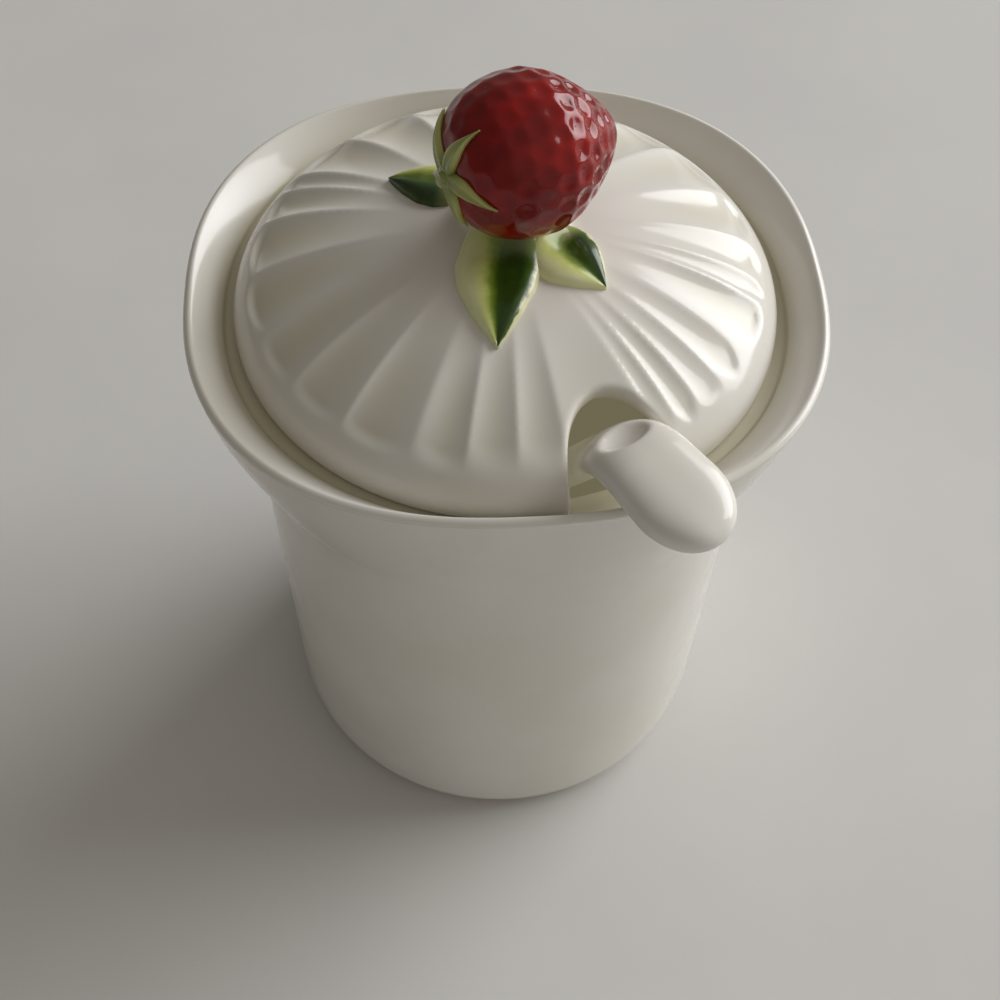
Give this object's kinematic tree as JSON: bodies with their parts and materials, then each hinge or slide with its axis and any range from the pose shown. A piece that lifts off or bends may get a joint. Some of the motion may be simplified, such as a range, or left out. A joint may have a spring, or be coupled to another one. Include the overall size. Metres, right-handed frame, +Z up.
{
  "type": "jam pot",
  "caption": "Glazed ceramic jam pot with a soft-square flared collar, a pleated lift-off lid with a strawberry knob and leaves, and a spoon that stands in a notch in the lid.",
  "frame": {"origin": "middle of the flat foot, on the table", "axes": "+Z up along the pot's axis, +X along the longer side of the soft-square rim, -Y towards the front, where the notch and the spoon's handle are"},
  "size_m": [0.0994, 0.1004, 0.1443],
  "materials": {
    "white_glaze": "gloss",
    "red_glaze": "gloss",
    "light_green_glaze": "gloss",
    "leaf_green_glaze": "gloss"
  },
  "bodies": {
    "pot": {"pot": "white_glaze"},
    "lid": {"lid": "white_glaze", "strawberry": "red_glaze", "calyx": "light_green_glaze", "leaf_front": "leaf_green_glaze", "leaf_right": "leaf_green_glaze", "leaf_left": "leaf_green_glaze"},
    "spoon": {"spoon": "white_glaze"}
  },
  "joints": [
    {"name": "lid_lift", "type": "slide", "parent": "pot", "child": "lid", "axis": [0, 0, 1], "range_m": [0, 0.06]},
    {"name": "spoon_lift", "type": "slide", "parent": "pot", "child": "spoon", "axis": [0.3047, -0.4336, 0.848], "range_m": [0, 0.07]}
  ]
}
